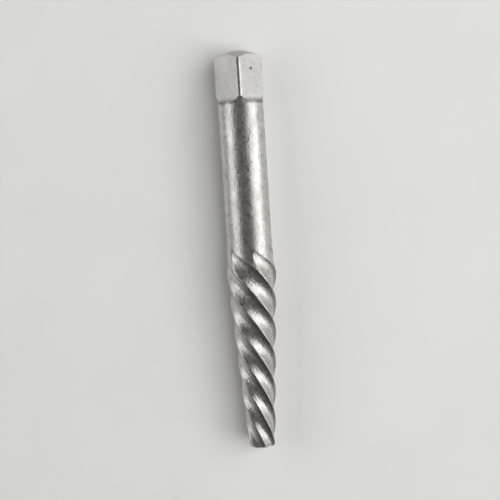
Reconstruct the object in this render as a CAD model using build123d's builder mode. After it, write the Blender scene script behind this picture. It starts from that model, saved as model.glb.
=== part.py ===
from build123d import *

import math
import os

# Screw extractor: one piece of hardened steel with a square drive end, a round shank
# and a tapered nose of left-hand spiral flutes. Millimetres. It is drawn upright, with
# the drive end's centre at the origin and the tip along +Z, and laid down at the end.

overall_length = 76.2

# Square drive end
square_sides = 4
square_across_flats = 6.9
square_length = 8.8
corner_land_diameter = 9.16
corner_land_round = 0.12
end_face_diameter = 2.6
end_slope_angle = 24.0
end_crown_radius = 12.0
flat_end_radius = 0.9

# Shank
shank_diameter = 8.66
shank_end = 38.4

# Nose blank, as turned before the flutes are ground
nose_flare_length = 3.4
nose_diameter = 9.66
nose_shoulder_radius = 9.0
tip_diameter = 5.1
tip_chamfer = 0.35

# Spiral flutes. Each starts on the shank and runs to the tip, where it is this deep.
flute_count = 6
flute_lead = 34.2
flute_start = 38.0
flute_depth_at_tip = 0.6
flute_lean = 0.1
crest_land = 0.1
crest_station = 46.0
turn_between_sections = 30.0

# How much further than the steel the grinding wheel reaches: sideways, outwards and
# past both ends of a flute
wheel_overrun = 0.1
wheel_clearance = 0.8
wheel_entry = 1.5

# How the tool lies still, on one corner of the square and on a crest: its turn about its
# own axis, and where it touches the crest, along the tool and from straight down
rest_roll = -13.8
rest_crest_station = 44.1
rest_crest_angle = 4.4

square_reach = square_across_flats / 2
corner_land_radius = corner_land_diameter / 2
shank_radius = shank_diameter / 2
nose_radius = nose_diameter / 2
tip_radius = tip_diameter / 2
end_face_radius = end_face_diameter / 2
end_slope = math.tan(math.radians(end_slope_angle))
corner_start = (corner_land_radius - end_face_radius) * end_slope
nose_peak = shank_end + nose_flare_length
nose_slope = (nose_radius - tip_radius) / (overall_length - nose_peak)
flute_root_at_tip = tip_radius - flute_depth_at_tip
root_slope = (shank_radius - flute_root_at_tip) / (overall_length - flute_start)
wheel_start = flute_start - wheel_entry
wheel_end = overall_length + wheel_entry
flute_pitch = 360 / flute_count


def crest_radius(station):
    """Radius of the nose's cone, carried on past both of its ends."""
    return nose_radius - (station - nose_peak) * nose_slope


def root_radius(station):
    """Radius of the line that the bottom of a flute follows."""
    return shank_radius - (station - flute_start) * root_slope


def wheel_edge(station):
    """The wheel's round edge as four control points, gentle side first.

    Seen along the spiral: the first coordinate runs outwards from the flute's bottom,
    and the second runs across the flute, towards the tip.
    """
    turn_per_length = 2 * math.pi / flute_lead
    spiral_angle = math.atan(turn_per_length * root_radius(station))
    across_turn = math.cos(spiral_angle) / crest_radius(station)
    across_turn += turn_per_length * math.sin(spiral_angle)
    half_width = math.radians(flute_pitch / 2) / across_turn - crest_land / 2
    levels = []
    for side in (half_width, -half_width):
        radius = crest_radius(station + side * math.sin(spiral_angle))
        chord = half_width * math.cos(spiral_angle)
        levels.append(math.sqrt(radius**2 - chord**2) - root_radius(station) + wheel_overrun)
    gentle_level, steep_level = levels
    reach = half_width + wheel_overrun
    depth = -(gentle_level + steep_level) / 6
    return (
        (gentle_level, reach),
        (depth, reach * (1 / 3 - flute_lean)),
        (depth, -reach * (1 / 3 + flute_lean)),
        (steep_level, -reach),
    )


# What the wheel takes out along one flute
with BuildPart() as ground_flute:
    with BuildLine() as spiral:
        Helix(
            pitch=flute_lead,
            height=wheel_end - wheel_start,
            radius=root_radius(wheel_start),
            center=(0, 0, wheel_start),
            cone_angle=-math.degrees(math.atan(root_slope)),
            lefthand=True,
        )
    wheel_turn = 360 * (wheel_end - wheel_start) / flute_lead
    section_count = math.ceil(wheel_turn / turn_between_sections)
    for section in range(section_count + 1):
        share = section / section_count
        place = spiral.line @ share
        outwards = Vector(place.X, place.Y, 0)
        edge = wheel_edge(place.Z)
        wheel_top = crest_radius(place.Z) - root_radius(place.Z) + wheel_clearance
        with BuildSketch(Plane(origin=place, x_dir=outwards, z_dir=spiral.line % share)):
            with BuildLine():
                Bezier(*edge)
                Polyline(
                    edge[-1],
                    (wheel_top, edge[-1][1]),
                    (wheel_top, edge[0][1]),
                    edge[0],
                )
            make_face()
    loft()

# The nose: a turned blank, cut by the flutes
with BuildPart() as nose:
    with BuildSketch(Plane.XZ):
        with BuildLine():
            Polyline(
                (0, wheel_start),
                (shank_radius, wheel_start),
                (shank_radius, shank_end),
                (nose_radius, nose_peak),
                (tip_radius, overall_length),
                (0, overall_length),
                close=True,
            )
        make_face()
        tip_corner = vertices().group_by(Axis.Y)[-1].sort_by(Axis.X)[-1]
        chamfer(tip_corner, length=tip_chamfer)
        shoulders = vertices().filter_by_position(Axis.Y, shank_end, nose_peak)
        fillet(shoulders, radius=nose_shoulder_radius)
    revolve(axis=Axis.Z)
    with PolarLocations(0, flute_count):
        add(ground_flute.part, mode=Mode.SUBTRACT)

# The drive end and shank: turned, then four flats that run out on the shank
with BuildPart() as drive_end:
    with BuildSketch(Plane.XZ):
        with BuildLine():
            RadiusArc(
                (corner_land_radius, corner_start),
                (end_face_radius, 0),
                end_crown_radius,
            )
            Polyline(
                (corner_land_radius, corner_start),
                (corner_land_radius, square_length),
                (shank_radius, square_length),
                (shank_radius, wheel_start),
                (0, wheel_start),
                (0, 0),
                (end_face_radius, 0),
            )
        make_face()
        widest = vertices().group_by(Axis.X)[-1]
        fillet(widest.sort_by(Axis.Y)[0], radius=corner_land_round)
    revolve(axis=Axis.Z)
    with BuildSketch(Plane.XZ):
        with BuildLine():
            Polyline(
                (square_reach, -square_length),
                (square_reach, square_length + flat_end_radius),
                (corner_land_diameter, square_length + flat_end_radius),
                (corner_land_diameter, -square_length),
                close=True,
            )
        make_face()
        inner_corner = vertices().group_by(Axis.Y)[-1].sort_by(Axis.X)[0]
        fillet(inner_corner, radius=flat_end_radius)
    flat_cut = extrude(amount=corner_land_diameter, both=True, mode=Mode.PRIVATE)
    with PolarLocations(0, square_sides, start_angle=180 / square_sides):
        add(flat_cut, mode=Mode.SUBTRACT)

# The nose is turned so that a crest is in line with one corner of the square at
# crest_station. The spiral starts at angle 0, in the middle of a flute, and winds
# clockwise towards the tip.
crest_turn = 360 * (crest_station - wheel_start) / flute_lead - flute_pitch / 2
with BuildPart() as tool:
    add(drive_end.part)
    add(nose.part, rotation=(0, 0, crest_turn))

# Lying down, its axis rises a little from the corner land's first point to the crest
land_half_angle = math.pi / square_sides - math.acos(square_reach / corner_land_radius)
rest_land_angle = abs(math.radians(rest_roll)) - land_half_angle
rest_land = corner_land_radius * math.cos(rest_land_angle)
rest_crest = crest_radius(rest_crest_station) * math.cos(math.radians(rest_crest_angle))
rest_pitch = math.atan((rest_crest - rest_land) / (rest_crest_station - corner_start))
rest_height = rest_land * math.cos(rest_pitch) - corner_start * math.sin(rest_pitch)
lying = tool.part.rotate(Axis.Z, rest_roll).rotate(Axis.Y, 90 - math.degrees(rest_pitch))
with BuildPart() as screw_extractor:
    with Locations((-overall_length / 2, 0, rest_height)):
        add(lying)

screw_extractor.part.label = "screw_extractor"
os.makedirs("parts", exist_ok=True)
export_step(screw_extractor.part, "parts/screw_extractor.step")
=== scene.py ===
"""Screw extractor: a bar of hardened steel with a square drive end, a round shank and a
tapered nose of left-hand spiral flutes, lying on a pale floor in soft studio light."""

import math

import bpy
from mathutils import Matrix, Vector


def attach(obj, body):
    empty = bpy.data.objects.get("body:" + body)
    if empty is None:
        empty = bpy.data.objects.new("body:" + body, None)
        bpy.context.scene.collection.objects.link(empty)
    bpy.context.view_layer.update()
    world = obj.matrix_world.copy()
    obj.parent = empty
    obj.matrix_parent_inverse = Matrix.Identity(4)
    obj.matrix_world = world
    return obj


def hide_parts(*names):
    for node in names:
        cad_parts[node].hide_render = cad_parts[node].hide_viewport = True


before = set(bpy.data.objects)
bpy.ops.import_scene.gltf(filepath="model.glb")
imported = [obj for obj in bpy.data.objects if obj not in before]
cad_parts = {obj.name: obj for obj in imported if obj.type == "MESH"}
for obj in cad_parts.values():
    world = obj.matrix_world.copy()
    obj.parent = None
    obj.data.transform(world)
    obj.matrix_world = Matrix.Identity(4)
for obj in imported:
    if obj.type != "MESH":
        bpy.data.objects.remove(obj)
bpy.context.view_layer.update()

bl_info = {
    "name": "Screw Extractor",
    "version": (1, 0, 0),
    "blender": (4, 5, 0),
    "location": "3D View > Sidebar > Extractor",
    "description": "Builds a spiral-fluted screw extractor and its studio",
    "category": "Object",
}

NODE = "screw_extractor"
BODY = "root"

MM = 0.001


# Sizes and colours that a user would change
class ExtractorSizes(bpy.types.PropertyGroup):
    """Sizes of the tool"""

    overall_length: bpy.props.FloatProperty(
        name="Overall length",
        description="From the drive end's face to the tip's face",
        default=76.2 * MM,
        unit="LENGTH",
    )
    square_across_flats: bpy.props.FloatProperty(
        name="Across flats",
        description="Width of the square drive end from flat to flat",
        default=6.9 * MM,
        unit="LENGTH",
    )
    square_length: bpy.props.FloatProperty(
        name="Square length",
        description="Length of the square before its flats curve out to the shank",
        default=8.8 * MM,
        unit="LENGTH",
    )
    corner_diameter: bpy.props.FloatProperty(
        name="Across corners",
        description="Diameter of the turned lands on the corners of the square",
        default=9.16 * MM,
        unit="LENGTH",
    )
    end_face_diameter: bpy.props.FloatProperty(
        name="End face diameter",
        description="Flat middle of the drive end",
        default=2.6 * MM,
        unit="LENGTH",
    )
    end_slope: bpy.props.FloatProperty(
        name="End slope",
        description="Slope of the drive end from its flat middle to the corners",
        default=math.radians(24.0),
        subtype="ANGLE",
    )
    end_crown: bpy.props.FloatProperty(
        name="End crown radius",
        description="How much the sloping end is crowned",
        default=12.0 * MM,
        unit="LENGTH",
    )
    flat_end_radius: bpy.props.FloatProperty(
        name="Flat end radius",
        description="Radius at which a flat curves out to the shank",
        default=0.9 * MM,
        unit="LENGTH",
    )
    shank_diameter: bpy.props.FloatProperty(
        name="Shank diameter",
        description="Diameter of the round shank",
        default=8.66 * MM,
        unit="LENGTH",
    )
    shank_end: bpy.props.FloatProperty(
        name="Shank end",
        description="Where the shank starts to widen into the nose",
        default=38.4 * MM,
        unit="LENGTH",
    )
    flare_length: bpy.props.FloatProperty(
        name="Flare length",
        description="Length over which the shank widens to the nose",
        default=3.4 * MM,
        unit="LENGTH",
    )
    shoulder_radius: bpy.props.FloatProperty(
        name="Shoulder radius",
        description="Rounding at both ends of the flare",
        default=9.0 * MM,
        unit="LENGTH",
    )
    nose_diameter: bpy.props.FloatProperty(
        name="Nose diameter",
        description="Widest diameter across the crests",
        default=9.66 * MM,
        unit="LENGTH",
    )
    tip_diameter: bpy.props.FloatProperty(
        name="Tip diameter",
        description="Diameter across the crests at the tip",
        default=5.1 * MM,
        unit="LENGTH",
    )
    tip_chamfer: bpy.props.FloatProperty(
        name="Tip chamfer",
        description="Chamfer around the tip",
        default=0.35 * MM,
        unit="LENGTH",
    )
    flute_count: bpy.props.IntProperty(
        name="Flutes",
        description="Number of spiral flutes",
        default=6,
        min=3,
        max=8,
    )
    flute_lead: bpy.props.FloatProperty(
        name="Lead",
        description="Length of one full turn of a flute",
        default=34.2 * MM,
        unit="LENGTH",
    )
    flute_start: bpy.props.FloatProperty(
        name="Flute start",
        description="Where the flutes' bottom line leaves the shank",
        default=38.0 * MM,
        unit="LENGTH",
    )
    flute_tip_depth: bpy.props.FloatProperty(
        name="Flute depth at the tip",
        description="Depth of a flute below the crests at the tip",
        default=0.6 * MM,
        unit="LENGTH",
    )
    flute_lean: bpy.props.FloatProperty(
        name="Flute lean",
        description="How far a flute leans to its steep side",
        default=0.1,
    )
    crest_land: bpy.props.FloatProperty(
        name="Crest land",
        description="Width of the narrow land on each crest",
        default=0.1 * MM,
        unit="LENGTH",
    )
    crest_station: bpy.props.FloatProperty(
        name="Crest station",
        description="Where a crest passes in line with a corner of the square",
        default=46.0 * MM,
        unit="LENGTH",
    )
    edge_rounding: bpy.props.FloatProperty(
        name="Edge rounding",
        description="How softly the blasted surface rounds the edges",
        default=0.05 * MM,
        unit="LENGTH",
    )
    corner_rounding: bpy.props.FloatProperty(
        name="Corner rounding",
        description="How softly wear rounds the corners of the square",
        default=0.07 * MM,
        unit="LENGTH",
    )
    wear_angle: bpy.props.FloatProperty(
        name="Wear angle",
        description="How far a facet worn beside each corner by the wrench faces off it",
        default=math.radians(24.0),
        subtype="ANGLE",
    )
    wear_start: bpy.props.FloatProperty(
        name="Wear start",
        description="How far from the middle of a corner the facet starts",
        default=math.radians(1.6),
        subtype="ANGLE",
    )
    waviness: bpy.props.FloatProperty(
        name="Waviness",
        description="How far the hand-finished surface swells and dips",
        default=0.03 * MM,
        unit="LENGTH",
    )
    waviness_length: bpy.props.FloatProperty(
        name="Waviness length",
        description="Distance from one swell to the next",
        default=3.0 * MM,
        unit="LENGTH",
    )
    pit_angle: bpy.props.FloatProperty(
        name="Pit angle",
        description="Direction of the flat that has a pit in it",
        default=math.radians(135.0),
        subtype="ANGLE",
    )
    pit_station: bpy.props.FloatProperty(
        name="Pit station",
        description="Where the pit lies along the tool",
        default=3.54 * MM,
        unit="LENGTH",
    )
    pit_offset: bpy.props.FloatProperty(
        name="Pit offset",
        description="How far the pit lies beside the middle of its flat",
        default=0.05 * MM,
        unit="LENGTH",
    )
    pit_radius: bpy.props.FloatProperty(
        name="Pit radius",
        description="Radius of the pit",
        default=0.42 * MM,
        unit="LENGTH",
    )
    pit_depth: bpy.props.FloatProperty(
        name="Pit depth",
        description="Depth of the pit",
        default=0.07 * MM,
        unit="LENGTH",
    )
    rest_roll: bpy.props.FloatProperty(
        name="Resting roll",
        description="Turn about the tool's own axis as it lies still",
        default=math.radians(-13.8),
        subtype="ANGLE",
    )
    rest_crest_station: bpy.props.FloatProperty(
        name="Resting crest station",
        description="Where the crest that carries the nose touches the floor",
        default=44.1 * MM,
        unit="LENGTH",
    )
    rest_crest_angle: bpy.props.FloatProperty(
        name="Resting crest angle",
        description="Angle of that point from straight down",
        default=math.radians(4.4),
        subtype="ANGLE",
    )


class ExtractorFinish(bpy.types.PropertyGroup):
    """Colours of the steel and the floor"""

    steel: bpy.props.FloatVectorProperty(
        name="Steel",
        description="Colour of the blasted steel",
        default=(0.72, 0.715, 0.7),
        size=3,
        subtype="COLOR",
        min=0.0,
        max=1.0,
    )
    # Also painted on the crowned drive end as painted shade
    stain_and_shade: bpy.props.FloatVectorProperty(
        name="Stain",
        description="Colour of its duller blotches",
        default=(0.43, 0.42, 0.385),
        size=3,
        subtype="COLOR",
        min=0.0,
        max=1.0,
    )
    ground: bpy.props.FloatVectorProperty(
        name="Ground flats",
        description="Colour of the flats of the square",
        default=(0.64, 0.635, 0.62),
        size=3,
        subtype="COLOR",
        min=0.0,
        max=1.0,
    )
    # Also painted on the steep side of the flutes, along their crests and where the flats end
    # as painted shade; pores and the pit take it too
    scale: bpy.props.FloatVectorProperty(
        name="Scale",
        description="Colour of the dark scale left where the blast didn't reach",
        default=(0.1, 0.096, 0.086),
        size=3,
        subtype="COLOR",
        min=0.0,
        max=1.0,
    )
    bright: bpy.props.FloatVectorProperty(
        name="Bright edges",
        description="Colour of the steel where its edges are rubbed",
        default=(0.84, 0.835, 0.82),
        size=3,
        subtype="COLOR",
        min=0.0,
        max=1.0,
    )
    floor: bpy.props.FloatVectorProperty(
        name="Floor",
        description="Colour of the studio floor",
        default=(0.78, 0.78, 0.77),
        size=3,
        subtype="COLOR",
        min=0.0,
        max=1.0,
    )


# Arithmetic for node trees
class Term:
    """A socket or number of a node tree that plain arithmetic can be written with."""

    def __init__(self, tree, socket):
        self.tree = tree
        self.socket = socket

    def of(self, operation, *others):
        node = self.tree.nodes.new("ShaderNodeMath")
        node.operation = operation
        for slot, value in zip(node.inputs, (self, *others)):
            join(self.tree, value, slot)
        return Term(self.tree, node.outputs[0])

    def __add__(self, other):
        return self.of("ADD", other)

    def __sub__(self, other):
        return self.of("SUBTRACT", other)

    def __mul__(self, other):
        return self.of("MULTIPLY", other)

    def __truediv__(self, other):
        return self.of("DIVIDE", other)

    def __radd__(self, other):
        return self + other

    def __rmul__(self, other):
        return self * other

    def __rsub__(self, other):
        return number(self.tree, other) - self

    def __rtruediv__(self, other):
        return number(self.tree, other) / self

    def __neg__(self):
        return self * -1.0

    def least(self, other):
        return self.of("MINIMUM", other)

    def most(self, other):
        return self.of("MAXIMUM", other)

    def soft_least(self, other, distance):
        return self.of("SMOOTH_MIN", other, distance)

    def root(self):
        return self.of("SQRT")

    def squared(self):
        return self * self

    def sine(self):
        return self.of("SINE")

    def cosine(self):
        return self.of("COSINE")

    def arctangent(self):
        return self.of("ARCTANGENT")

    def wrapped(self, low, high):
        return self.of("WRAP", high, low)

    def magnitude(self):
        return self.of("ABSOLUTE")

    def ramp(self, low, high, to_low=0.0, to_high=1.0, smooth=False):
        """The value taken from low..high to to_low..to_high, and held past both."""
        node = self.tree.nodes.new("ShaderNodeMapRange")
        node.interpolation_type = "SMOOTHSTEP" if smooth else "LINEAR"
        node.clamp = True
        for name, value in (
            ("Value", self),
            ("From Min", low),
            ("From Max", high),
            ("To Min", to_low),
            ("To Max", to_high),
        ):
            join(self.tree, value, node.inputs[name])
        return Term(self.tree, node.outputs["Result"])


def join(tree, value, slot):
    """Puts a term, a socket or a plain value on a socket."""
    if isinstance(value, Term):
        value = value.socket
    if isinstance(value, bpy.types.NodeSocket):
        tree.links.new(value, slot)
    else:
        slot.default_value = value


def number(tree, value):
    node = tree.nodes.new("ShaderNodeValue")
    node.outputs[0].default_value = value
    return Term(tree, node.outputs[0])


def vector(tree, **parts):
    """A vector of the parts that are given as x, y and z."""
    node = tree.nodes.new("ShaderNodeCombineXYZ")
    for name, value in parts.items():
        join(tree, value, node.inputs[name.upper()])
    return node.outputs[0]


def hypotenuse(a, b):
    return (a.squared() + b.squared()).root()


def noise(tree, place, size, detail=2.0, roughness=0.5):
    """Soft random value over the surface, its blotches about that size across."""
    node = tree.nodes.new("ShaderNodeTexNoise")
    node.inputs["Scale"].default_value = 1.0
    node.inputs["Detail"].default_value = detail
    node.inputs["Roughness"].default_value = roughness
    shrink = tree.nodes.new("ShaderNodeVectorMath")
    shrink.operation = "DIVIDE"
    join(tree, place, shrink.inputs[0])
    if not isinstance(size, tuple):
        size = vector(tree, x=size, y=size, z=size)
    join(tree, size, shrink.inputs[1])
    tree.links.new(shrink.outputs[0], node.inputs["Vector"])
    return Term(tree, node.outputs["Fac"])


# The grid that becomes the tool: how many rows each stretch along it has
ROWS = (
    ("end_face", 5),
    ("crown", 18),
    ("land_edge", 10),
    ("flats_before_pit", 10),
    ("pit", 18),
    ("flats", 22),
    ("flat_ends", 44),
    ("shank", 96),
    ("flute_starts", 66),
    ("nose", 190),
    ("tip_edge", 10),
    ("tip_face", 7),
)
ROW_COUNT = sum(count for _, count in ROWS)
COLUMNS = 192
SQUARE_SIDES = 4
HALF_SIDE = math.pi / SQUARE_SIDES

# How the columns of half a side are shared out, from a corner or crest inwards: share of
# the columns, share of the angle
SQUARE_STRETCHES = ((8 / 24, 6.4 / 45), (11 / 24, 32.8 / 45), (5 / 24, 5.8 / 45))
NOSE_STRETCHES = ((3 / 16, 1.6 / 30), (13 / 16, 28.4 / 30))

# A smooth minimum of two lines rounds their corner as deeply as an arc does if its distance
# is the arc's radius times their difference in slope squared times this
ARC_TO_BLEND = 0.75

# How steeply a flat, a facet or a flute leaves the bar past its end
RELEASE_SLOPE = 9

LAND_EDGE_ROUNDING = 0.12 * MM
TIP_EDGE_ROUNDING = 0.04 * MM
WHEEL_OVERRUN = 0.1 * MM
WHEEL_ENTRY = 2.0 * MM
MERGE_DISTANCE = 0.0001 * MM
SHARP_EDGE = math.radians(32.0)

# Every size of the tool is a named input of its tree
INPUTS = tuple(ExtractorSizes.__annotations__)


def passed(tree, kind, geometry, settings=(), **values):
    """Geometry passed through a new node, with values on its named inputs."""
    node = tree.nodes.new(kind)
    for name, value in settings:
        setattr(node, name, value)
    tree.links.new(geometry, node.inputs[0])
    for name, value in values.items():
        join(tree, value, node.inputs[name.replace("_", " ").title()])
    return node.outputs[0]


def meeting(first, second, apart=0.06 * MM):
    """1 on the edge where two surfaces meet, and 0 where they are that far apart."""
    return (first - second).magnitude().ramp(0.0, apart, 1.0, 0.0)


def cut_in(bar, surface):
    """1 where a surface lies under the bar, and so shows, and 0 where it lies outside."""
    return (bar - surface).ramp(-0.01 * MM, 0.03 * MM)


def released(surface, beyond):
    """A surface that leaves the bar past its end, so that it cuts no further."""
    return surface + beyond.most(0.0) * RELEASE_SLOPE


def gathered(column, sides, stretches):
    """Angle of a column around the tool, with the columns gathered at its corners."""
    per_side = COLUMNS / sides
    local = (column / per_side + 0.5).wrapped(0.0, 1.0) - 0.5
    from_corner = local.magnitude() * 2
    bent = number(column.tree, 0.0)
    start = 0.0
    for columns, share in stretches:
        bent = bent + from_corner.ramp(start, start + columns, 0.0, share)
        start += columns
    side = column / per_side - local
    return (side + bent * local.of("SIGN") / 2) * (2 * math.pi / sides)


class ToolShape:
    """The tool's shape as nodes: its radius by angle and station, upright on its drive end.

    Its steps stand in the order in which they are called, as the tool is made, and each
    keeps what the later ones follow.
    """

    def __init__(self, tree, size):
        self.tree = tree
        self.size = size
        self.flat_reach = size["square_across_flats"] / 2
        self.land_radius = size["corner_diameter"] / 2
        self.shank_radius = size["shank_diameter"] / 2
        self.nose_radius = size["nose_diameter"] / 2
        self.tip_radius = size["tip_diameter"] / 2
        self.face_radius = size["end_face_diameter"] / 2
        self.corner_fall = self.land_radius - self.face_radius
        self.corner_start = self.corner_fall * size["end_slope"].of("TANGENT")
        self.nose_peak = size["shank_end"] + size["flare_length"]
        taper_length = size["overall_length"] - self.nose_peak
        self.nose_slope = (self.nose_radius - self.tip_radius) / taper_length
        root_drop = self.shank_radius - (self.tip_radius - size["flute_tip_depth"])
        self.root_slope = root_drop / (size["overall_length"] - size["flute_start"])
        self.turn = 2 * math.pi / size["flute_lead"]
        self.pitch = 2 * math.pi / size["flute_count"]

    def crest_radius(self, station):
        """Radius of the nose's cone, carried on past both of its ends."""
        return self.nose_radius - (station - self.nose_peak) * self.nose_slope

    def point(self, radius):
        """The point at that radius on the tool."""
        return vector(
            self.tree,
            x=radius * self.angle.cosine(),
            y=radius * self.angle.sine(),
            z=self.station,
        )

    def place_rows(self, row):
        """Station of each row along the tool, and how far it is drawn in at both ends."""
        size = self.size
        length = size["overall_length"]
        flats_run_out = size["square_length"] + size["flat_end_radius"]

        # How far the close rows reach past what they are there for
        land_edge_reach = self.corner_start * 0.12
        pit_reach = size["pit_radius"] * 1.5
        before_run_out = 0.1 * MM
        after_run_out = 0.25 * MM
        flute_reach = 1.0 * MM
        tip_edge_reach = size["tip_chamfer"] * 1.3

        stops = (
            number(self.tree, 0.0),
            number(self.tree, 0.0),
            self.corner_start - land_edge_reach,
            self.corner_start + land_edge_reach,
            size["pit_station"] - pit_reach,
            size["pit_station"] + pit_reach,
            size["square_length"] - before_run_out,
            flats_run_out + after_run_out,
            size["flute_start"] - flute_reach,
            self.nose_peak + flute_reach,
            length - tip_edge_reach,
            length,
            length,
        )
        self.station = number(self.tree, 0.0)
        first = 0
        for (_, count), start, end in zip(ROWS, stops, stops[1:]):
            stretch = row.ramp(first, first + count, 0.0, end - start)
            self.station = self.station + stretch
            first += count
        self.end_share = row.ramp(0, ROWS[0][1])
        self.tip_share = row.ramp(ROW_COUNT - ROWS[-1][1], ROW_COUNT, 1.0, 0.0)

    def place_columns(self, column):
        """Angle of each column: gathered at the corners of the square on the drive end and
        at the crests on the nose, where the columns follow the spiral."""
        size = self.size
        around_square = gathered(column, SQUARE_SIDES, SQUARE_STRETCHES)
        around_nose = gathered(column, size["flute_count"], NOSE_STRETCHES)
        square_left = size["square_length"] + 2 * MM
        nose_reached = size["flute_start"] - 4 * MM
        on_nose = self.station.ramp(square_left, nose_reached)
        crest_advance = size["flute_lead"] / size["flute_count"]
        spiral_start = size["crest_station"] - size["flute_lead"] / 2 + crest_advance
        spiral = (self.station - spiral_start).most(0.0) * self.turn
        self.angle = around_square + (around_nose - around_square) * on_nose - spiral

    def turn_bar(self):
        """The turned bar: crowned end, corner lands, shank, flare and cone."""
        size = self.size
        station = self.station
        chord = hypotenuse(self.corner_fall, self.corner_start)
        off_chord = (size["end_crown"].squared() - (chord / 2).squared()).root()
        centre_radius = (self.land_radius + self.face_radius) / 2
        centre_radius = centre_radius - off_chord * self.corner_start / chord
        centre_station = self.corner_start / 2 + off_chord * self.corner_fall / chord
        drop = centre_station - station.least(centre_station)
        arch = (size["end_crown"].squared() - drop.squared()).most(0.0).root()
        self.crown = centre_radius + arch

        flare = (self.nose_radius - self.shank_radius) / size["flare_length"]
        climb = self.shank_radius + (station - size["shank_end"]) * flare
        bend = size["shoulder_radius"] * ARC_TO_BLEND
        nose = climb.of("SMOOTH_MAX", self.shank_radius, bend * flare.squared())
        peak_bend = bend * (flare + self.nose_slope).squared()
        shank = nose.soft_least(self.crest_radius(station), peak_bend)

        step_half = 0.02 * MM
        square_end = size["square_length"]
        past_step = station.ramp(square_end - step_half, square_end + step_half)
        bar = self.land_radius + (shank - self.land_radius) * past_step
        self.crown_edge = meeting(bar, self.crown)
        bar = bar.soft_least(self.crown, LAND_EDGE_ROUNDING)
        chamfer = self.tip_radius - size["tip_chamfer"] + (size["overall_length"] - station)
        self.bar = bar.soft_least(chamfer, TIP_EDGE_ROUNDING)

    def mill_flats(self):
        """Four flats that curve out to the shank, with a worn facet beside each corner."""
        size = self.size
        past_square = self.station - size["square_length"]
        end_radius = size["flat_end_radius"]
        along_curve = past_square.most(0.0).least(end_radius)
        curve = (end_radius.squared() - along_curve.squared()).most(0.0).root()
        reach = self.flat_reach + end_radius - curve
        off_middle = (self.angle + HALF_SIDE).wrapped(-HALF_SIDE, HALF_SIDE)
        self.flat = released(reach / off_middle.cosine(), past_square - end_radius)

        facet_reach = self.land_radius * (size["wear_angle"] - size["wear_start"]).cosine()
        off_facet = off_middle - HALF_SIDE + size["wear_angle"]
        self.facet = released(facet_reach / off_facet.cosine(), past_square)

        # How far the flat climbs to meet the shank, and the line where it does
        self.flat_climb = (self.shank_radius * off_middle.cosine() - self.flat_reach).most(0.0)
        run_out = (self.flat_climb * (end_radius * 2 - self.flat_climb)).most(0.0).root()
        self.past_flat = past_square - run_out

    def flute_section(self, station):
        """Sizes of a flute where the wheel stands at that station: radius of its bottom,
        spiral angle, turn for each length across it and half its width."""
        root = self.shank_radius - (station - self.size["flute_start"]) * self.root_slope
        lean = (self.turn * root).arctangent()
        across = lean.cosine() / self.crest_radius(station) + self.turn * lean.sine()
        half = self.pitch / 2 / across - self.size["crest_land"] / 2
        return root, lean, across, half

    def grind_flutes(self):
        """The flutes, each ground by a wheel that follows the spiral."""
        size = self.size
        wheel_start = size["flute_start"] - WHEEL_ENTRY
        nearby = self.station.most(wheel_start)
        _, lean, across, _ = self.flute_section(nearby)
        self.crest_angle = math.pi - (nearby - size["crest_station"]) * self.turn
        off_bottom = self.angle - self.crest_angle - self.pitch / 2
        self.off_bottom = off_bottom.wrapped(self.pitch * -0.5, self.pitch * 0.5)
        self.beside = self.off_bottom / across
        self.section = nearby - self.beside * lean.sine()
        root, self.lean, _, half = self.flute_section(self.section)

        # The wheel's edge is a cubic curve whose two inner points lie at one depth. How far
        # it is beside the flute's bottom is a quadratic in its share.
        levels = []
        for side in (half, -half):
            crest = self.crest_radius(self.section + side * self.lean.sine())
            flank = (crest.squared() - (half * self.lean.cosine()).squared()).root()
            levels.append(flank - root + WHEEL_OVERRUN)
        gentle, steep = levels
        depth = (gentle + steep) / -6
        span = half + WHEEL_OVERRUN
        tilt = size["flute_lean"] * 3
        under = (tilt + 2).squared() - tilt * 4 * (1 - self.beside / span)
        share = ((tilt + 2) - under.root()) / (tilt * 2)
        rest = 1 - share
        level = rest.squared() * rest * gentle + share.squared() * share * steep
        level = level + share * rest * 3 * depth
        flute = hypotenuse(root + level, self.beside * self.lean.cosine())
        self.flute = released(flute, wheel_start - self.station)

    def wear_surface(self):
        """The surface itself: rounded edges, slow swells and the pit in one flat."""
        size = self.size
        radius = self.bar.soft_least(self.facet, size["edge_rounding"])
        radius = radius.soft_least(self.flat, size["corner_rounding"])
        radius = radius.soft_least(self.flute, size["edge_rounding"])
        swell = noise(self.tree, self.point(radius), size["waviness_length"], detail=1.0)
        radius = radius + (swell - 0.5) * size["waviness"]

        off_pit = self.angle - size["pit_angle"]
        beside_pit = radius * off_pit.sine() - size["pit_offset"]
        pit_distance = hypotenuse(beside_pit, self.station - size["pit_station"])
        pit = pit_distance.ramp(0.0, size["pit_radius"], 1.0, 0.0, smooth=True)
        on_pit_side = off_pit.cosine().ramp(0.5, 0.6)
        self.pit = pit * on_pit_side
        self.radius = radius - self.pit * size["pit_depth"]

    def marks(self):
        """What the finish and the painted shade follow, by the name that the mesh keeps it
        under.
        """
        size = self.size
        on_flat = cut_in(self.bar, self.flat)
        # Painted shade on the crowned drive end: where it goes
        crown_shade = (self.land_radius - self.crown).ramp(0.1 * MM, 0.25 * MM)
        on_side = self.tip_share.ramp(0.9, 1.0)
        on_flute = cut_in(self.bar, self.flute) * on_side

        # Painted shade on the steep side of a flute, more and more towards its crest, and along
        # the crest itself
        flute_share = self.off_bottom / self.pitch
        steep_side_shade = flute_share.ramp(-0.22, -0.34, 0.0, 0.7, smooth=True)
        steep_side_shade = steep_side_shade + flute_share.ramp(-0.36, -0.44, 0.0, 0.3, smooth=True)
        crest = meeting(self.bar, self.flute, 0.07 * MM) * 0.75

        # Painted shade along the line where each flat meets the shank
        off_line = (self.past_flat - 0.2 * MM).magnitude()
        flat_end_shade = off_line.ramp(0.05 * MM, 0.46 * MM, 1.0, 0.0, smooth=True)
        flat_end_shade = flat_end_shade * self.flat_climb.ramp(0.02 * MM, 0.2 * MM)

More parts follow.
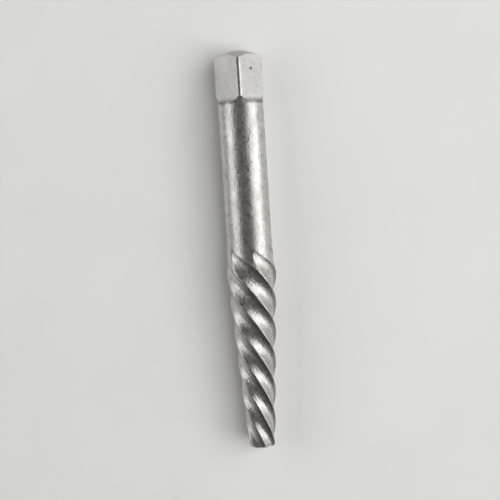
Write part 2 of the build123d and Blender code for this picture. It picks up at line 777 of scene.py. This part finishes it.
        # The corners of the square, which end with it
        square_end = size["square_length"]
        on_square = self.station.ramp(square_end, square_end + MM, 1.0, 0.0)
        corner_edge = meeting(self.bar, self.flat) * on_square

        # Place across and along the wheel's path, with a distance from flute to flute
        flute_number = ((self.angle - self.crest_angle) / self.pitch).of("FLOOR")
        flute_number = flute_number.wrapped(0.0, size["flute_count"])
        wheel_path = vector(
            self.tree,
            x=self.beside,
            y=self.section / self.lean.cosine(),
            z=flute_number * 10 * MM,
        )
        return {
            "crown_shade": crown_shade * (1 - on_flat),
            "on_flat": on_flat,
            "on_flute": on_flute,
            "steep_side_shade": (steep_side_shade * on_flute).most(crest * on_side),
            "flat_end_shade": flat_end_shade,
            "worn_edge": corner_edge.most(self.crown_edge),
            "pit": self.pit,
            "wheel_path": wheel_path,
        }


def wrapped_grid(tree):
    """A flat grid, and the row and column of its points."""
    grid = tree.nodes.new("GeometryNodeMeshGrid")
    for axis, count in (("X", ROW_COUNT), ("Y", COLUMNS)):
        grid.inputs["Size " + axis].default_value = count
        grid.inputs["Vertices " + axis].default_value = count + 1
    place = tree.nodes.new("GeometryNodeInputPosition")
    split = tree.nodes.new("ShaderNodeSeparateXYZ")
    tree.links.new(place.outputs[0], split.inputs[0])
    row = Term(tree, split.outputs["X"]) + ROW_COUNT / 2
    column = Term(tree, split.outputs["Y"]) + COLUMNS / 2
    return grid.outputs["Mesh"], row, column


def laid_down(tree, geometry, shape):
    """The upright tool as it lies still, on one corner of the square and on a crest."""
    size = shape.size
    land_half = HALF_SIDE - (shape.flat_reach / shape.land_radius).of("ARCCOSINE")
    land_angle = size["rest_roll"].magnitude() - land_half
    land = shape.land_radius * land_angle.cosine()
    crest = shape.crest_radius(size["rest_crest_station"]) * size["rest_crest_angle"].cosine()
    rise = (crest - land) / (size["rest_crest_station"] - shape.corner_start)
    slope = rise.arctangent()
    height = land * slope.cosine() - shape.corner_start * slope.sine()
    roll = vector(tree, z=size["rest_roll"])
    tip_down = vector(tree, y=math.pi / 2 - slope)
    shift = vector(tree, x=size["overall_length"] / -2, z=height)
    rolled = passed(tree, "GeometryNodeTransform", geometry, rotation=roll)
    return passed(tree, "GeometryNodeTransform", rolled, rotation=tip_down, translation=shift)


def body_tree(material):
    """The fluted tool as Geometry Nodes: one wrapped grid, its radius a rule of place."""
    tree = bpy.data.node_groups.new("fluted_tool", "GeometryNodeTree")
    face = tree.interface
    face.new_socket("Geometry", in_out="OUTPUT", socket_type="NodeSocketGeometry")
    for name in INPUTS:
        face.new_socket(name, in_out="INPUT", socket_type="NodeSocketFloat")
    given = tree.nodes.new("NodeGroupInput")
    mesh, row, column = wrapped_grid(tree)

    shape = ToolShape(tree, {name: Term(tree, given.outputs[name]) for name in INPUTS})
    shape.place_rows(row)
    shape.place_columns(column)
    shape.turn_bar()
    shape.mill_flats()
    shape.grind_flutes()
    shape.wear_surface()

    for name, value in shape.marks().items():
        kind = "FLOAT_VECTOR" if name == "wheel_path" else "FLOAT"
        settings = (("data_type", kind), ("domain", "POINT"))
        mesh = passed(
            tree, "GeometryNodeStoreNamedAttribute", mesh, settings, name=name, value=value
        )
    place = shape.point(shape.radius * shape.end_share * shape.tip_share)
    mesh = passed(tree, "GeometryNodeSetPosition", mesh, position=place)
    mesh = passed(tree, "GeometryNodeMergeByDistance", mesh, distance=MERGE_DISTANCE)
    mesh = passed(tree, "GeometryNodeFlipFaces", mesh)
    mesh = laid_down(tree, mesh, shape)

    edge_angle = tree.nodes.new("GeometryNodeInputMeshEdgeAngle")
    bend = Term(tree, edge_angle.outputs["Unsigned Angle"])
    soft = bend.of("LESS_THAN", SHARP_EDGE)
    on_edges = (("domain", "EDGE"),)
    mesh = passed(tree, "GeometryNodeSetShadeSmooth", mesh, on_edges, shade_smooth=soft)
    mesh = passed(tree, "GeometryNodeRealizeInstances", mesh)
    mesh = passed(tree, "GeometryNodeSetMaterial", mesh, material=material)
    out = tree.nodes.new("NodeGroupOutput")
    tree.links.new(mesh, out.inputs["Geometry"])
    return tree


# The finish
def mark(tree, name, kind="Fac"):
    """What the mesh keeps under that name."""
    node = tree.nodes.new("ShaderNodeAttribute")
    node.attribute_name = name
    return Term(tree, node.outputs[kind])


def blend(tree, share, first, second):
    """The first colour where the share is 0, the second where it is 1."""
    node = tree.nodes.new("ShaderNodeMix")
    node.data_type = "RGBA"
    join(tree, share, node.inputs[0])
    for slot, colour in ((node.inputs[6], first), (node.inputs[7], second)):
        join(tree, colour if isinstance(colour, bpy.types.NodeSocket) else (*colour, 1.0), slot)
    return node.outputs[2]


# How fully each layer of the steel's finish and painted shade covers the ones before it
GROUND_COVER = 0.45
# The next three cover painted shade: on the crowned drive end, on the steep side of the flutes
# and where the flats meet the shank
CROWN_SHADE_COVER = 0.8
STEEP_SHADE_COVER = 0.75
FLAT_END_SHADE_COVER = 0.65
PORE_COVER = 0.5
RUB_COVER = 0.7


def grain_group():
    """Group that gives the grain of a surface: a height in millimetres, a mottle and a
    speckle. It is built once, for every material."""
    if "surface_grain" in bpy.data.node_groups:
        return bpy.data.node_groups["surface_grain"]
    tree = bpy.data.node_groups.new("surface_grain", "ShaderNodeTree")
    face = tree.interface
    face.new_socket("Place", in_out="INPUT", socket_type="NodeSocketVector")
    for name in ("Grain Size", "Grain Height", "Fine Size", "Fine Height", "Mottle Size"):
        face.new_socket(name, in_out="INPUT", socket_type="NodeSocketFloat")
    for name in ("Height", "Mottle", "Speckle"):
        face.new_socket(name, in_out="OUTPUT", socket_type="NodeSocketFloat")
    given = tree.nodes.new("NodeGroupInput")
    place = given.outputs["Place"]
    grain = noise(tree, place, given.outputs["Grain Size"])
    fine = noise(tree, place, given.outputs["Fine Size"])
    mottle = noise(tree, place, given.outputs["Mottle Size"], detail=4.0, roughness=0.65)
    height = grain * Term(tree, given.outputs["Grain Height"])
    height = height + fine * Term(tree, given.outputs["Fine Height"])
    out = tree.nodes.new("NodeGroupOutput")
    join(tree, height, out.inputs["Height"])
    join(tree, mottle.ramp(0.35, 0.65), out.inputs["Mottle"])
    join(tree, grain.ramp(0.36, 0.62), out.inputs["Speckle"])
    return tree


def grained(tree, place, **values):
    """What the grain group gives at a place, with its own values."""
    node = tree.nodes.new("ShaderNodeGroup")
    node.node_tree = grain_group()
    tree.links.new(place, node.inputs["Place"])
    for name, value in values.items():
        node.inputs[name.replace("_", " ").title()].default_value = value
    return {slot.name: Term(tree, slot) for slot in node.outputs}


def pores(tree, place):
    """A small dark dot in a few of the cells that the surface is divided into."""
    cells = tree.nodes.new("ShaderNodeTexVoronoi")
    cells.inputs["Scale"].default_value = 1 / (0.8 * MM)
    tree.links.new(place, cells.inputs["Vector"])
    pick = tree.nodes.new("ShaderNodeSeparateColor")
    tree.links.new(cells.outputs["Color"], pick.inputs[0])
    chosen = Term(tree, pick.outputs["Red"]).ramp(0.55, 1.0)
    return Term(tree, cells.outputs["Distance"]).ramp(0.08, 0.26, 1.0, 0.0) * chosen


def new_material(name):
    """A new material, its nodes, its shader and Object coordinates."""
    material = bpy.data.materials.new(name)
    material.use_nodes = True
    tree = material.node_tree
    coords = tree.nodes.new("ShaderNodeTexCoord")
    return material, tree, tree.nodes["Principled BSDF"], coords.outputs["Object"]


def add_bump(tree, shader, height):
    """Bump of that height, in millimetres."""
    bump = tree.nodes.new("ShaderNodeBump")
    bump.inputs["Distance"].default_value = MM
    join(tree, height, bump.inputs["Height"])
    tree.links.new(bump.outputs["Normal"], shader.inputs["Normal"])


def steel_material(finish):
    """Hardened steel: blasted all over, with shade painted dark on the steep side of the
    flutes, along their crests, where the flats end and on the crowned drive end, streaks where
    the wheel ran and edges rubbed bright."""
    material, tree, shader, place = new_material("tool_steel")
    shader.inputs["Metallic"].default_value = 1.0
    blasted = grained(
        tree,
        place,
        grain_size=0.42 * MM,
        grain_height=0.05,
        fine_size=0.17 * MM,
        fine_height=0.028,
        mottle_size=1.6 * MM,
    )
    speckle = blasted["Speckle"]
    mottle = blasted["Mottle"]
    on_flute = mark(tree, "on_flute")
    on_flat = mark(tree, "on_flat")
    pit = mark(tree, "pit")
    wheel_path = mark(tree, "wheel_path", "Vector")

    # Streaks of the wheel, slow swells, uneven gloss, dark flecks, dull patches and pores
    streaks = noise(tree, wheel_path, (0.24 * MM, 4.0 * MM, 5.0 * MM))
    swell = noise(tree, place, 2.4 * MM, detail=1.0)
    uneven = noise(tree, place, 1.1 * MM, detail=3.0, roughness=0.6).ramp(0.3, 0.7)
    flecks = noise(tree, place, 0.9 * MM, detail=3.0, roughness=0.6).ramp(0.53, 0.65)
    patches = noise(tree, place, 4.5 * MM, detail=1.0).ramp(0.35, 0.65)
    pore = pores(tree, place)

    rub = mark(tree, "worn_edge") * (0.45 + 0.55 * speckle)
    # Painted shade on the steep side of the flutes and along their crests, a little mottled
    steep_shade = mark(tree, "steep_side_shade") * (0.75 + 0.25 * mottle)
    stain_and_shade = (1 - mottle) * 0.35 + (1 - speckle) * 0.25 + patches * 0.25 + flecks * 0.28
    layers = (
        (stain_and_shade, finish.stain_and_shade),
        (on_flat * GROUND_COVER, finish.ground),
        # Painted shade: the crowned drive end darkened with the duller blotch colour
        (mark(tree, "crown_shade") * CROWN_SHADE_COVER, finish.stain_and_shade),
        # Painted shade: the steep side of the flutes and their crests darkened
        (steep_shade * STEEP_SHADE_COVER, finish.scale),
        # Painted shade: the line where the flats meet the shank darkened
        (mark(tree, "flat_end_shade") * FLAT_END_SHADE_COVER, finish.scale),
        (pit.ramp(0.0, 0.55).most(pore * PORE_COVER), finish.scale),
        (rub * RUB_COVER, finish.bright),
    )
    colour = finish.steel
    for cover, layer in layers:
        colour = blend(tree, cover, colour, layer)
    tree.links.new(colour, shader.inputs["Base Color"])

    rough = 0.25 + uneven * 0.12 + patches * 0.04 + speckle * 0.03 - flecks * 0.09
    rough = rough + on_flat * 0.1 + (streaks - 0.5) * on_flute * 0.3 - rub * 0.08
    join(tree, rough, shader.inputs["Roughness"])

    height = blasted["Height"] + swell * 0.05 + streaks * on_flute * 0.05
    height = height - flecks * 0.004 - pore * 0.02 - pit * 0.02
    add_bump(tree, shader, height)
    return material


def floor_material(finish):
    """Pale matt floor with a faint mottle."""
    material, tree, shader, place = new_material("studio_floor")
    paper = grained(
        tree,
        place,
        grain_size=2.0 * MM,
        grain_height=0.02,
        fine_size=0.5 * MM,
        fine_height=0.004,
        mottle_size=30 * MM,
    )
    darker = [channel * 0.97 for channel in finish.floor]
    colour = blend(tree, paper["Mottle"], darker, finish.floor)
    tree.links.new(colour, shader.inputs["Base Color"])
    shader.inputs["Roughness"].default_value = 0.9
    shader.inputs["Specular IOR Level"].default_value = 0.0
    add_bump(tree, shader, paper["Height"])
    return material


# Soft boxes that the steel mirrors: name, from and to in degrees to the right of the view,
# from and to along the tool in metres, brightness, and whether it lights the floor too
SOFT_BOXES = (
    ("right_box", 32.0, 66.0, -0.5, 0.25, 0.67, True),
    ("low_right_box", 66.0, 76.0, -0.5, 0.25, 1.4, False),
    ("left_box", -87.5, -47.0, -0.8, 0.1, 0.67, True),
)
BOX_DISTANCE = 0.5
BOX_SPREAD = math.radians(120.0)

# A light for the floor, which the steel doesn't mirror
FILL_SIZE = 0.8
FILL_ENERGY = 8.2
FILL_PLACE = (0.0, 0.65, 0.75)

FLOOR_SIZE = 4.0
ROOM_COLOUR = (1.0, 0.985, 0.91, 1.0)
ROOM_STRENGTH = 0.125
BACKDROP_COLOUR = (0.62, 0.62, 0.61, 1.0)

# The camera aims at the tool's middle. It leans over to see the drive end, and turns so that
# the tool leans in the picture. The tool's length is this share of the picture's width.
AIM = Vector((0.0, 0.0, 4.6 * MM))
CAMERA_TILT = math.radians(3.75)
PICTURE_LEAN = math.radians(3.73)
TOOL_SHARE = 396 / 500
LENS = 100.0
SENSOR_WIDTH = 36.0

ALONG = Vector((1.0, 0.0, 0.0))


def standing(across, up, toward, place):
    """Matrix of a lamp or camera at a place: its right, its top and its back face these."""
    turned = Matrix((across, up, toward)).transposed().to_4x4()
    return Matrix.Translation(place) @ turned


def view_directions(sizes):
    """Directions to the viewer, who looks at a corner of the square, and to their right."""
    roll = sizes.rest_roll
    view = Vector((0.0, -math.sin(roll), math.cos(roll)))
    right = Vector((0.0, math.cos(roll), math.sin(roll)))
    return view, right


def studio_world():
    """A dim room that the steel mirrors, and a pale backdrop that only the camera sees."""
    world = bpy.data.worlds.new("studio")
    world.use_nodes = True
    tree = world.node_tree
    room = tree.nodes["Background"]
    room.inputs["Color"].default_value = ROOM_COLOUR
    room.inputs["Strength"].default_value = ROOM_STRENGTH
    backdrop = tree.nodes.new("ShaderNodeBackground")
    backdrop.inputs["Color"].default_value = BACKDROP_COLOUR
    path = tree.nodes.new("ShaderNodeLightPath")
    mix = tree.nodes.new("ShaderNodeMixShader")
    tree.links.new(path.outputs["Is Camera Ray"], mix.inputs["Fac"])
    tree.links.new(room.outputs["Background"], mix.inputs[1])
    tree.links.new(backdrop.outputs["Background"], mix.inputs[2])
    tree.links.new(mix.outputs["Shader"], tree.nodes["World Output"].inputs["Surface"])
    return world


def soft_box(scene, name, near, far, start, end, brightness, on_floor):
    """An oblong area light beside the tool, which the camera doesn't see."""
    view, right = view_directions(scene.extractor_sizes)
    swing = math.radians((near + far) / 2)
    data = bpy.data.lights.new(name, "AREA")
    data.shape = "RECTANGLE"
    data.size = end - start
    data.size_y = 2 * BOX_DISTANCE * math.tan(math.radians((far - near) / 2))
    data.spread = BOX_SPREAD
    data.energy = brightness * math.pi * data.size * data.size_y
    light = bpy.data.objects.new(name, data)
    light.visible_camera = False
    light.visible_diffuse = on_floor
    scene.collection.objects.link(light)
    toward = view * math.cos(swing) + right * math.sin(swing)
    place = AIM + toward * BOX_DISTANCE + ALONG * (start + end) / 2
    light.matrix_world = standing(ALONG, toward.cross(ALONG), toward, place)


def floor_fill(scene):
    """An even light on the floor."""
    data = bpy.data.lights.new("floor_fill", "AREA")
    data.size = FILL_SIZE
    data.energy = FILL_ENERGY
    light = bpy.data.objects.new("floor_fill", data)
    light.location = FILL_PLACE
    _, beside, above = FILL_PLACE
    light.rotation_euler = (-math.atan2(beside, above), 0.0, 0.0)
    light.visible_glossy = False
    scene.collection.objects.link(light)


def studio_camera(scene):
    """The camera above the tool, with the drive end at the top of the picture."""
    view, right = view_directions(scene.extractor_sizes)
    toward = view * math.cos(CAMERA_TILT) - ALONG * math.sin(CAMERA_TILT)
    axis = (ALONG - toward * toward.x).normalized()
    across = right * math.cos(PICTURE_LEAN) + axis * math.sin(PICTURE_LEAN)
    up = right * math.sin(PICTURE_LEAN) - axis * math.cos(PICTURE_LEAN)
    data = bpy.data.cameras.new("camera")
    data.lens = LENS
    data.sensor_width = SENSOR_WIDTH
    camera = bpy.data.objects.new("camera", data)
    scene.collection.objects.link(camera)
    picture_width = scene.extractor_sizes.overall_length / TOOL_SHARE
    distance = picture_width * LENS / SENSOR_WIDTH
    camera.matrix_world = standing(across, up, toward, AIM + toward * distance)
    scene.camera = camera


# Builders
class EXTRACTOR_OT_body(bpy.types.Operator):
    """Build the fluted steel tool"""

    bl_idname = "extractor.body"
    bl_label = "Build Tool"

    def execute(self, context):
        sizes = context.scene.extractor_sizes
        tree = body_tree(steel_material(context.scene.extractor_finish))
        source = bpy.data.objects.new("fluting", bpy.data.meshes.new("fluting"))
        context.scene.collection.objects.link(source)
        modifier = source.modifiers.new("fluted_tool", "NODES")
        modifier.node_group = tree
        for item in tree.interface.items_tree:
            if item.in_out == "INPUT":
                modifier[item.identifier] = float(getattr(sizes, item.name))
        context.view_layer.update()
        graph = context.evaluated_depsgraph_get()
        mesh = bpy.data.meshes.new_from_object(source.evaluated_get(graph))
        bpy.data.objects.remove(source)
        mesh.name = "extractor_body"
        tool = bpy.data.objects.new("extractor_body", mesh)
        context.scene.collection.objects.link(tool)
        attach(tool, BODY)
        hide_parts(NODE)
        return {"FINISHED"}


class EXTRACTOR_OT_studio(bpy.types.Operator):
    """Build the floor, the lights and the camera"""

    bl_idname = "extractor.studio"
    bl_label = "Build Studio"

    def execute(self, context):
        scene = context.scene
        bpy.ops.mesh.primitive_plane_add(size=FLOOR_SIZE)
        floor = context.active_object
        floor.name = "studio_floor"
        floor.data.materials.append(floor_material(scene.extractor_finish))
        scene.world = studio_world()
        scene.view_settings.view_transform = "Standard"
        for box in SOFT_BOXES:
            soft_box(scene, *box)
        floor_fill(scene)
        studio_camera(scene)
        return {"FINISHED"}


class EXTRACTOR_PT_panel(bpy.types.Panel):
    """Lists the tool's builders and sizes"""

    bl_label = "Screw Extractor"
    bl_idname = "EXTRACTOR_PT_panel"
    bl_space_type = "VIEW_3D"
    bl_region_type = "UI"
    bl_category = "Extractor"

    def draw(self, context):
        layout = self.layout
        for operator in (EXTRACTOR_OT_body, EXTRACTOR_OT_studio):
            layout.operator(operator.bl_idname)
        for group in (context.scene.extractor_sizes, context.scene.extractor_finish):
            box = layout.box()
            for name in group.bl_rna.properties.keys():
                if name not in ("rna_type", "name"):
                    box.prop(group, name)


CLASSES = (
    ExtractorSizes,
    ExtractorFinish,
    EXTRACTOR_OT_body,
    EXTRACTOR_OT_studio,
    EXTRACTOR_PT_panel,
)


def register():
    for kind in CLASSES:
        bpy.utils.register_class(kind)
    bpy.types.Scene.extractor_sizes = bpy.props.PointerProperty(type=ExtractorSizes)
    bpy.types.Scene.extractor_finish = bpy.props.PointerProperty(type=ExtractorFinish)


def unregister():
    del bpy.types.Scene.extractor_finish
    del bpy.types.Scene.extractor_sizes
    for kind in reversed(CLASSES):
        bpy.utils.unregister_class(kind)


def main():
    register()
    bpy.ops.extractor.body()
    bpy.ops.extractor.studio()


if __name__ == "__main__":
    main()
